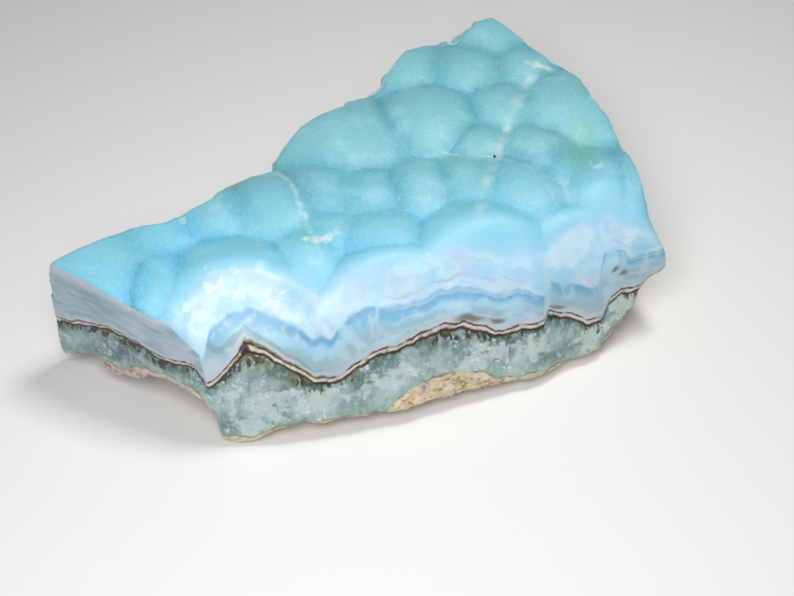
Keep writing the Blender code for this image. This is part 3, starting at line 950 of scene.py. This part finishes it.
def skin_colour(paint):
    """The blue skin of the crust: sky blue in front and turquoise behind, darker there partly as
    painted shade. Painted shade darkens its valleys and a painted highlight lightens its crowns.
    """
    place = paint.nodes.new("ShaderNodeSeparateXYZ")
    paint.links.new(paint.place, place.inputs[0])
    # Turquoise towards the back, darker there partly as painted shade of the light falling off
    back = paint.wobble(paint.rise(place.outputs["Y"], -0.030, 0.008), 18.0, 0.3, shift=3.0)
    colour = paint.mix(paint.rise(back, 0.0, 1.0), SKY, SHADED_TURQUOISE)
    minty = paint.patches(13.0, 0.46, 0.66, 0.45, detail=3.0, shift=7.0)
    colour = paint.mix(minty, colour, MINT)
    # Painted highlight: each knob lighter the higher it stands above the next knob
    crown_highlight = paint.uneven("valley", 6.0, 0.7, detail=4.0, shift=9.0)
    colour = paint.mix(paint.rise(crown_highlight, 0.6, 3.6, 0.0, 0.5), colour, CROWN_HIGHLIGHT)
    # Painted shade: a darker band down into each valley and a darker crease at its floor
    drop = paint.uneven("valley", 4.0, 0.12, shift=11.0)
    valley_band_shade = paint.times(paint.rise(drop, 0.0, 1.5, 0.62, 0.0), paint.kept("painted_valley_shade"))
    colour = paint.mix(valley_band_shade, colour, VALLEY_SHADE)
    crease_shade = paint.times(paint.rise(drop, 0.0, 0.28, 0.5, 0.0), paint.kept("painted_valley_shade"))
    colour = paint.mix(crease_shade, colour, CREASE_SHADE)
    pale = paint.patches(5.0, 0.48, 0.75, 0.35, detail=6.0, shift=17.0)
    colour = paint.mix(pale, colour, PALE_CYAN)
    green = paint.uneven("green", 2.5, 0.3, detail=5.0, shift=19.0)
    colour = paint.mix(paint.rise(green, 0.1, 0.9, 0.0, 0.6), colour, GREEN)
    long_vein = paint.uneven("long_vein", 2.4, 0.6, detail=5.0, shift=23.0)
    strength = paint.patches(4.0, 0.38, 0.62, 0.75, 0.15, detail=4.0, shift=25.0)
    colour = paint.mix(paint.times(paint.rise(long_vein, 0.1, 1.7, 0.7, 0.0), strength), colour, VEIN)
    fine_vein = paint.uneven("fine_vein", 1.3, 0.4, detail=6.0, shift=29.0)
    strength = paint.patches(1.5, 0.35, 0.6, least=0.3, detail=5.0, shift=30.0)
    colour = paint.mix(paint.times(paint.rise(fine_vein, 0.0, 0.9, 0.6, 0.0), strength), colour, VEIN)
    thin_vein = paint.uneven("thin_vein", 1.2, 0.15, detail=3.0, shift=31.0)
    strength = paint.patches(3.0, 0.4, 0.6, 0.6, 0.1, detail=4.0, shift=33.0)
    thin = paint.times(paint.rise(thin_vein, 0.0, 0.45, 1.0, 0.0), strength)
    colour = paint.mix(thin, colour, THIN_VEIN)
    white_vein = paint.uneven("white_vein", 0.9, 0.55, detail=8.0, shift=35.0)
    colour = paint.mix(paint.rise(white_vein, 0.2, 0.9, 0.0, 0.6), colour, WHITE_VEIN)
    sugar = paint.noise(0.5, detail=3.0, shift=37.0)
    colour = paint.mix(paint.rise(sugar, 0.45, 0.7, 0.0, 0.12), colour, WHITE)
    dots = paint.patches(0.9, 0.68, 0.74, 0.25, detail=4.0, shift=39.0)
    colour = paint.mix(dots, colour, PALE_CYAN)
    return paint.mix(paint.rise(paint.kept("speck"), 0.5, 0.6), colour, BLACK)


def ground_zone_colour(paint):
    """The pale zone that the grinding laid open: ice blue with lilac, white facets painted as glints of
    reflected light, and fine cracks.
    """
    ice = paint.mix(paint.patches(5.0, 0.38, 0.62, detail=6.0, shift=41.0), ICE, ICE_SHADE)
    ice = paint.mix(paint.patches(6.0, 0.48, 0.66, 0.5, detail=4.0, shift=43.0), ice, LILAC)
    # Painted reflection: white angular facets stand for glints of light on the polished ground edge
    glint_facets = paint.cells(1.9, (1.0, 1.0, 0.8), 2.0, bent=0.5)
    facet_glint = paint.rise(glint_facets.outputs["Color"], 0.5, 0.85, 0.0, 0.3)
    facet_glint = paint.times(facet_glint, paint.patches(6.0, 0.46, 0.6, least=0.15, detail=3.0, shift=44.0))
    ice = paint.mix(facet_glint, ice, WHITE)
    cracks = paint.cells(4.5, (1.0, 1.0, 0.6), 4.0, "DISTANCE_TO_EDGE", bent=0.8)
    crack = paint.rise(cracks.outputs["Distance"], 0.008, 0.03, 0.15, 0.0)
    seen = paint.patches(7.0, 0.46, 0.6, detail=3.0, shift=45.0)
    return paint.mix(paint.times(crack, seen), ice, LILAC_LINE)


def blue_layer_colour(paint):
    """The ground zone and the blue layer under it, on the front and behind."""
    icy = ground_zone_colour(paint)
    edge = paint.uneven("blue", 3.0, 0.15, detail=3.0, shift=47.0)
    top = paint.mix(paint.times(paint.kept("broken"), 0.7), BLUE_TOP, BLUE)
    deep = paint.mix(paint.rise(edge, 0.2, 2.8), top, BLUE)
    deep = paint.mix(paint.rise(edge, 1.4, 3.4), deep, BLUE_LOW)
    clear = paint.patches(6.0, 0.46, 0.62, 0.75, stretch=(1.0, 1.0, 1.6), detail=3.0, shift=49.0)
    deep = paint.mix(paint.times(clear, paint.rise(edge, 0.5, 1.4)), deep, CLEAR_BLUE)
    columns = paint.noise(2.0, (1.0, 1.0, 0.25), 5.0, 53.0)
    deep = paint.mix(paint.rise(columns, 0.5, 0.66, 0.0, 0.55), deep, COLUMN)
    level = paint.wobble(paint.times(paint.kept("line_level"), 4.2), 5.0, 0.9, detail=2.0, shift=54.0)
    bands = paint.rise(paint.sum("SINE", level), 0.1, 1.0, 0.0, 0.42)
    deep = paint.mix(paint.times(bands, paint.kept("lined")), deep, COLUMN)
    pale_foot = paint.mix(paint.patches(4.0, 0.38, 0.6, detail=4.0, shift=55.0), BLUE_LOW, HALO)
    foot = paint.uneven("blue_foot", 3.0, 0.4, detail=3.0, shift=57.0)
    deep = paint.mix(paint.rise(foot, -1.0, 0.6, 0.85, 0.0), deep, pale_foot)
    arc = paint.times(paint.line(foot, -0.4, 0.55), paint.kept("arc"))
    deep = paint.mix(paint.times(arc, 0.45), deep, ARC)
    colour = paint.mix(paint.rise(edge, -0.3, 0.3), icy, deep)
    walls = paint.uneven("white_wall", 2.0, 0.14, detail=4.0, shift=58.0)
    colour = paint.mix(paint.rise(walls, 0.35, 0.85, 0.0, 0.55), colour, ICE)
    lines = paint.uneven("line_level", 9.0, 0.5, detail=2.0, shift=59.0)
    broken_line = paint.patches(5.0, 0.35, 0.6, least=0.2, detail=4.0, shift=60.0)
    for depth, strength in ((-0.9, 0.4), (-2.3, 0.15)):
        share = paint.times(paint.times(paint.line(lines, depth, 0.2), strength), paint.kept("lined"))
        colour = paint.mix(paint.times(share, broken_line), colour, LILAC_LINE)
    seam = paint.uneven("above_seam", 2.0, 0.3, detail=3.0, shift=61.0)
    colour = paint.mix(paint.rise(seam, 1.0, 2.4, 0.8, 0.0), colour, HALO)
    smudge = paint.uneven("smudge", 1.5, 0.12, (0.4, 0.4, 1.0), 4.0, 63.0)
    return paint.mix(paint.rise(smudge, 0.25, 0.9, 0.0, 0.8), colour, SMUDGE)


def left_colour(paint):
    """The same layers on the cut left side: greyer, with level streaks."""
    tall = paint.times(paint.kept("share"), 10.0)
    streaks = paint.wobble(tall, 14.0, 0.5, (1.0, 1.0, 2.5), 3.0, 67.0)
    grey = paint.mix(paint.rise(paint.sum("SINE", streaks), -0.4, 0.9, 0.0, 0.45), LEFT_GREY, LEFT_TEAL)
    dark = paint.patches(7.0, 0.46, 0.64, 0.8, stretch=(1.0, 1.0, 2.2), detail=5.0, shift=69.0)
    grey = paint.mix(dark, grey, LEFT_TEAL)
    fine = paint.sum("SINE", paint.times(streaks, 5.0))
    broken_line = paint.patches(6.0, 0.42, 0.6, 0.4, stretch=(1.0, 1.0, 2.0), detail=4.0, shift=70.0)
    grey = paint.mix(paint.times(paint.rise(fine, 0.3, 1.0), broken_line), grey, LEFT_RIM)
    cloudy = paint.patches(4.0, 0.46, 0.66, 0.6, stretch=(1.0, 1.0, 2.4), detail=6.0, shift=71.0)
    grey = paint.mix(cloudy, grey, LEFT_RIM)
    rim = paint.uneven("share", 4.0, 0.04, detail=4.0, shift=72.0)
    grey = paint.mix(paint.rise(rim, 0.74, 0.95, 0.0, 0.9), grey, LEFT_RIM)
    return paint.mix(paint.rise(paint.kept("above_seam"), 0.8, 2.6, 0.75, 0.0), grey, HALO)


def crystal_colour(paint):
    """The crystalline layer: cloudy sea green, dark under the seam, with sparkling points."""
    below = paint.uneven("above_seam", 3.0, 1.1, detail=6.0, shift=73.0)
    murky = paint.noise(9.0, detail=7.0, shift=79.0)
    colour = paint.mix(paint.rise(murky, 0.36, 0.62), CRYSTAL, TEAL)
    low = paint.rise(paint.kept("rock"), 0.3, 3.5, 0.7, 0.0)
    colour = paint.mix(low, colour, CRYSTAL_LOW)
    dark = paint.patches(4.0, 0.40, 0.58, least=0.15, detail=5.0, shift=97.0)
    colour = paint.mix(paint.times(paint.rise(below, -3.6, -1.2, 0.0, 0.85), dark), colour, DEEP_TEAL)
    greener = paint.times(paint.rise(below, -5.0, -1.5, 0.0, 0.7), paint.kept("olive"))
    greener = paint.times(greener, paint.patches(2.2, 0.38, 0.62, detail=6.0, shift=81.0))
    colour = paint.mix(greener, colour, OLIVE_GREEN)
    ragged = paint.noise(2.2, (1.0, 1.0, 1.2), 8.0, 83.0, True)
    clouds = paint.add(paint.kept("cloud"), paint.times(ragged, 0.8))
    elsewhere = paint.patches(5.0, 0.48, 0.66, 0.5, stretch=(1.0, 1.0, 1.3), detail=8.0, shift=85.0)
    elsewhere = paint.times(elsewhere, paint.rise(below, -2.0, -3.6))
    cover = paint.sum("MAXIMUM", paint.rise(clouds, 0.34, 0.64, 0.0, 0.8), elsewhere)
    colour = paint.mix(cover, colour, CLOUD)
    threads = paint.noise(0.7, (1.0, 1.0, 0.3), 5.0, 101.0)
    colour = paint.mix(paint.rise(threads, 0.48, 0.72, 0.0, 0.4), colour, CLOUD)
    shade = paint.noise(1.3, (1.0, 1.0, 0.7), 6.0, 102.0)
    colour = paint.mix(paint.rise(shade, 0.50, 0.70, 0.0, 0.3), colour, TEAL)
    frost = paint.noise(1.7, (1.0, 1.0, 0.8), 8.0, 106.0)
    colour = paint.mix(paint.rise(frost, 0.53, 0.70, 0.0, 0.3), colour, CLOUD)
    sugar = paint.patches(0.6, 0.50, 0.66, 0.75, detail=6.0, shift=104.0)
    chosen = paint.patches(3.5, 0.50, 0.64, detail=6.0, shift=103.0)
    colour = paint.mix(paint.times(sugar, chosen), colour, SPARK)
    return colour


def rock_colour(paint):
    """The rough tan rock at the base, greyer and pinker on the left."""
    colour = paint.mix(paint.patches(2.0, 0.4, 0.6, detail=6.0, shift=107.0), ROCK, ROCK_LIGHT)
    tint = paint.patches(4.0, 0.48, 0.62, 0.45, detail=4.0, shift=108.0)
    colour = paint.mix(tint, colour, ROCK_LILAC)
    colour = paint.mix(paint.rise(paint.kept("far_left"), 0.0, 1.0, 0.0, 0.6), colour, ROCK_LILAC)
    brown = paint.patches(1.2, 0.50, 0.66, 0.7, stretch=(1.0, 1.0, 1.4), detail=7.0, shift=109.0)
    colour = paint.mix(brown, colour, ROCK_BROWN)
    pits = paint.patches(0.5, 0.60, 0.72, 0.6, detail=6.0, shift=111.0)
    colour = paint.mix(pits, colour, ROCK_DARK)
    stains = paint.patches(9.0, 0.5, 0.7, 0.3, detail=3.0, shift=113.0)
    return paint.mix(stains, colour, CRYSTAL)


def with_seam(paint, colour):
    """The thin seam: brown, white and brown again, with olive teeth that hang from it."""
    above_seam = paint.kept("above_seam")
    level = paint.wobble(above_seam, 1.6, 0.2, detail=4.0, shift=127.0)
    teeth = paint.noise(0.7, (1.0, 1.0, 0.2), 5.0, 131.0)
    long_teeth = paint.patches(5.0, 0.38, 0.6, 2.3, 0.5, detail=3.0, shift=132.0)
    hang = paint.add(above_seam, paint.times(paint.rise(teeth, 0.36, 0.66), long_teeth))
    fringe = paint.times(paint.rise(hang, -0.8, -0.3), paint.rise(level, -0.2, 0.0, 1.0, 0.0))
    tooth = paint.mix(paint.patches(1.6, 0.46, 0.62, detail=5.0, shift=134.0), SEAM_DARK, OLIVE)
    colour = paint.mix(paint.times(fringe, 0.85), colour, tooth)
    ragged = paint.wobble(level, 0.8, 0.18, detail=5.0, shift=133.0)
    colour = paint.mix(paint.line(ragged, -0.42, 0.5), colour, SEAM_DARK)
    milky = paint.mix(paint.patches(1.2, 0.46, 0.72, detail=4.0, shift=135.0), SEAM_WHITE, SEAM_TAN)
    colour = paint.mix(paint.line(ragged, 0.16, 0.62), colour, milky)
    broken_line = paint.patches(2.2, 0.36, 0.52, least=0.25, detail=4.0, shift=137.0)
    wide = paint.times(paint.line(ragged, 1.0, 0.5), paint.times(paint.kept("olive"), 0.85))
    colour = paint.mix(wide, colour, OLIVE)
    colour = paint.mix(paint.times(paint.line(ragged, 0.78, 0.34), broken_line), colour, SEAM_BROWN)
    return paint.mix(paint.rise(paint.kept("pit"), 0.35, 0.6, 0.0, 0.9), colour, SEAM_DARK)


def with_fault(paint, colour):
    """The pale line of each crack."""
    away = paint.uneven("fault", 1.6, 0.12, shift=139.0)
    return paint.mix(paint.rise(away, 0.05, 0.35, 0.35, 0.0), colour, LILAC)


def stone_material():
    """One material for the whole stone, which changes with the layers."""
    material = bpy.data.materials.new("blue_aragonite")
    material.use_nodes = True
    paint = Paint(material)
    shader = material.node_tree.nodes["Principled BSDF"]

    layers = blue_layer_colour(paint)
    on_left = paint.rise(paint.kept("on_left"), -0.12, 0.12)
    layers = paint.mix(on_left, layers, left_colour(paint))
    layers = with_fault(paint, layers)
    seam_level = paint.uneven("above_seam", 1.3, 0.16, detail=3.0, shift=127.0)
    above = paint.rise(seam_level, -0.3, -0.1)
    sides = paint.mix(above, crystal_colour(paint), layers)
    sides = with_seam(paint, sides)
    rock_level = paint.uneven("rock", 2.6, 0.8, detail=7.0, shift=149.0)
    patchy = paint.patches(3.0, 0.4, 0.6, 0.8, 0.2, detail=4.0, shift=179.0)
    rim = paint.times(paint.line(rock_level, 0.15, 0.45), patchy)
    sides = paint.mix(rim, sides, RIM_BROWN)
    in_rock = paint.rise(rock_level, -0.1, 0.12, 1.0, 0.0)
    sides = paint.mix(in_rock, sides, rock_colour(paint))

    edge = paint.uneven("skin", 3.5, 0.5, detail=3.0, shift=151.0)
    skin = skin_colour(paint)
    far = paint.times(paint.rise(edge, 0.6, 7.5, 0.75, 0.0), paint.kept("ground_edge"))
    skin = paint.mix(far, skin, EDGE_CYAN)
    near = paint.times(paint.rise(edge, -0.2, 2.6, 0.9, 0.0), paint.kept("ground_edge"))
    skin = paint.mix(near, skin, ICE_SHADE)
    rim_chip = paint.uneven("rim_chip", 1.4, 0.5, detail=5.0, shift=191.0)
    chipped = paint.rise(rim_chip, 0.5 * RIM_WIDTH, RIM_WIDTH, 0.75, 0.0)
    skin = paint.mix(chipped, skin, RIM_PALE)
    on_skin = paint.rise(edge, -0.5, 0.9)
    colour = paint.mix(on_skin, sides, skin)
    # White chips, and angular white patches painted as glints of reflected light on the ground edge
    chips_and_glints = paint.uneven("chips_and_glints", 1.1, 0.2, detail=5.0, shift=157.0)
    plates = paint.cells(1.5, (1.0, 0.7, 0.8), 6.0, bent=0.3)
    plate = paint.rise(plates.outputs["Color"], 0.4, 0.7, 0.0, 0.3)
    colour = paint.mix(paint.times(paint.rise(chips_and_glints, 0.0, 0.45), plate), colour, WHITE)
    paint.put(shader.inputs["Base Color"], colour)

    below_seam = paint.rest_of(above)
    rough = paint.blend(on_skin, SIDE_ROUGHNESS, SKIN_ROUGHNESS)
    rough = paint.blend(below_seam, rough, CRYSTAL_ROUGHNESS)
    rough = paint.blend(in_rock, rough, ROCK_ROUGHNESS)
    rough = paint.wobble(rough, 2.0, 0.06, detail=4.0, shift=163.0)
    paint.put(shader.inputs["Roughness"], rough)

    rough_blue = paint.blend(paint.kept("broken"), 0.2, 1.2)
    rough_side = paint.blend(on_skin, paint.blend(above, 1.0, rough_blue), 0.08)
    grain = paint.times(paint.noise(0.45, detail=4.0, shift=167.0), rough_side)
    rugged = paint.times(paint.noise(1.1, detail=7.0, shift=173.0), paint.blend(in_rock, 0.12, 2.0))
    bump = paint.nodes.new("ShaderNodeBump")
    bump.inputs["Strength"].default_value = BUMP_STRENGTH
    bump.inputs["Distance"].default_value = BUMP_DEPTH * MM
    paint.put(bump.inputs["Height"], paint.add(grain, rugged))
    paint.put(shader.inputs["Normal"], bump.outputs["Normal"])

    shader.inputs["Subsurface Weight"].default_value = GLOW
    shader.inputs["Subsurface Radius"].default_value = GLOW_REACH
    shader.inputs["Subsurface Scale"].default_value = GLOW_DEPTH * MM
    shader.inputs["IOR"].default_value = REFRACTION
    return material


def floor_material():
    """Plain pale card."""
    material = bpy.data.materials.new("pale_card")
    material.use_nodes = True
    shader = material.node_tree.nodes["Principled BSDF"]
    shader.inputs["Base Color"].default_value = linear(FLOOR)
    shader.inputs["Roughness"].default_value = FLOOR_ROUGHNESS
    return material


def make_floor():
    """The pale surface that the stone lies on."""
    bpy.ops.mesh.primitive_plane_add(size=FLOOR_WIDTH, location=(0.0, 0.0, 0.0))
    floor = bpy.context.object
    floor.name = "floor"
    floor.data.materials.append(floor_material())


def add_light(name, place, aim, size, power, colour):
    """A soft square light that looks at a point, all in metres."""
    light = bpy.data.lights.new(name, "AREA")
    light.size = size
    light.energy = power
    light.color = colour
    lamp = bpy.data.objects.new(name, light)
    lamp.location = place
    direction = Vector(aim) - Vector(place)
    lamp.rotation_euler = direction.to_track_quat("-Z", "Y").to_euler()
    bpy.context.scene.collection.objects.link(lamp)


def add_lights():
    """Soft studio light from above: one lamp behind on the right and one in front."""
    for name, values in LAMPS.items():
        add_light(name, *values)
    world = bpy.data.worlds.new("soft_room")
    world.use_nodes = True
    background = world.node_tree.nodes["Background"]
    background.inputs["Color"].default_value = ROOM_LIGHT
    background.inputs["Strength"].default_value = ROOM_STRENGTH
    bpy.context.scene.world = world


def add_camera():
    """The camera at the photograph's angle."""
    data = bpy.data.cameras.new("camera")
    data.sensor_width = SENSOR_WIDTH
    data.lens = LENS
    data.clip_start = NEAREST_SEEN
    camera = bpy.data.objects.new("camera", data)
    camera.location = Vector(CAMERA_AT) * MM - Vector((*PLAN_MIDDLE, 0.0)) * MM
    camera.rotation_euler = (math.radians(90.0 - CAMERA_TILT), 0.0, 0.0)
    bpy.context.scene.collection.objects.link(camera)
    bpy.context.scene.camera = camera


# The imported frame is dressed, set on its floor and lit
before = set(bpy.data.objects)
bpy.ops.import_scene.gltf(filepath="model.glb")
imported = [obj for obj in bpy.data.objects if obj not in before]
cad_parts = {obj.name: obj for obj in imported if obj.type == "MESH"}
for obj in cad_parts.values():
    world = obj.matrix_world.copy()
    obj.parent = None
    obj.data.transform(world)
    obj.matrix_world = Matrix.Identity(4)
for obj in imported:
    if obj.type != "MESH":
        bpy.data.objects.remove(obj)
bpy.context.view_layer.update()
stone = make_stone(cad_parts[NODE])
stone.data.materials.clear()
stone.data.materials.append(stone_material())
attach(stone, "root")
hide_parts(NODE)
make_floor()
add_lights()
add_camera()
bpy.context.scene.view_settings.view_transform = "Standard"
